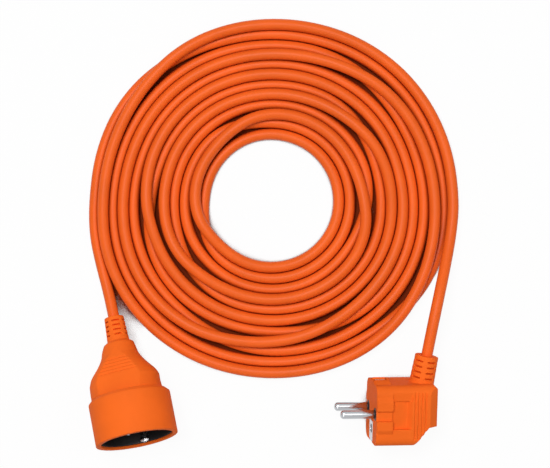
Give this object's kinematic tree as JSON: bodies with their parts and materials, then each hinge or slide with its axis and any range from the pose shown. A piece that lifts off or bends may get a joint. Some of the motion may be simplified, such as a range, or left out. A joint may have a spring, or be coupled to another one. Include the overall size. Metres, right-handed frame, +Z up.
{
  "type": "extension cord",
  "caption": "Orange extension cord wound in a flat round coil, with a moulded angled mains plug and a moulded single coupler socket.",
  "frame": {"origin": "on the ground, under the middle of the box round the plug and the socket (every node that starts with plug_ or socket_)", "axes": "+Z up from the ground; +Y from the two connectors towards the coil; the plug is on the +X side and its pins point to -X"},
  "size_m": [0.2027, 0.2362, 0.0497],
  "materials": {
    "orange_moulding": "satin",
    "orange_sheath": "satin",
    "black_insert": "satin",
    "nickel_plate": "polished",
    "brass": "satin",
    "brown_insulation": "satin",
    "blue_insulation": "satin",
    "green_yellow_insulation": "satin"
  },
  "bodies": {
    "root": {"plug_body": "orange_moulding", "plug_pin_bridge": "black_insert", "plug_line_pin": "nickel_plate", "plug_neutral_pin": "nickel_plate", "plug_earth_strap": "nickel_plate", "plug_earth_sleeve": "nickel_plate", "plug_cord_end": "orange_sheath", "plug_line_core": "brown_insulation", "plug_neutral_core": "blue_insulation", "plug_earth_core": "green_yellow_insulation", "socket_body": "orange_moulding", "socket_insert": "black_insert", "socket_contact_base": "black_insert", "socket_line_contact": "brass", "socket_neutral_contact": "brass", "socket_earth_strap": "nickel_plate", "socket_cord_end": "orange_sheath", "socket_line_core": "brown_insulation", "socket_neutral_core": "blue_insulation", "socket_earth_core": "green_yellow_insulation", "cord_socket_lead": "orange_sheath", "cord_coil": "orange_sheath", "cord_plug_lead": "orange_sheath"}
  },
  "joints": []
}
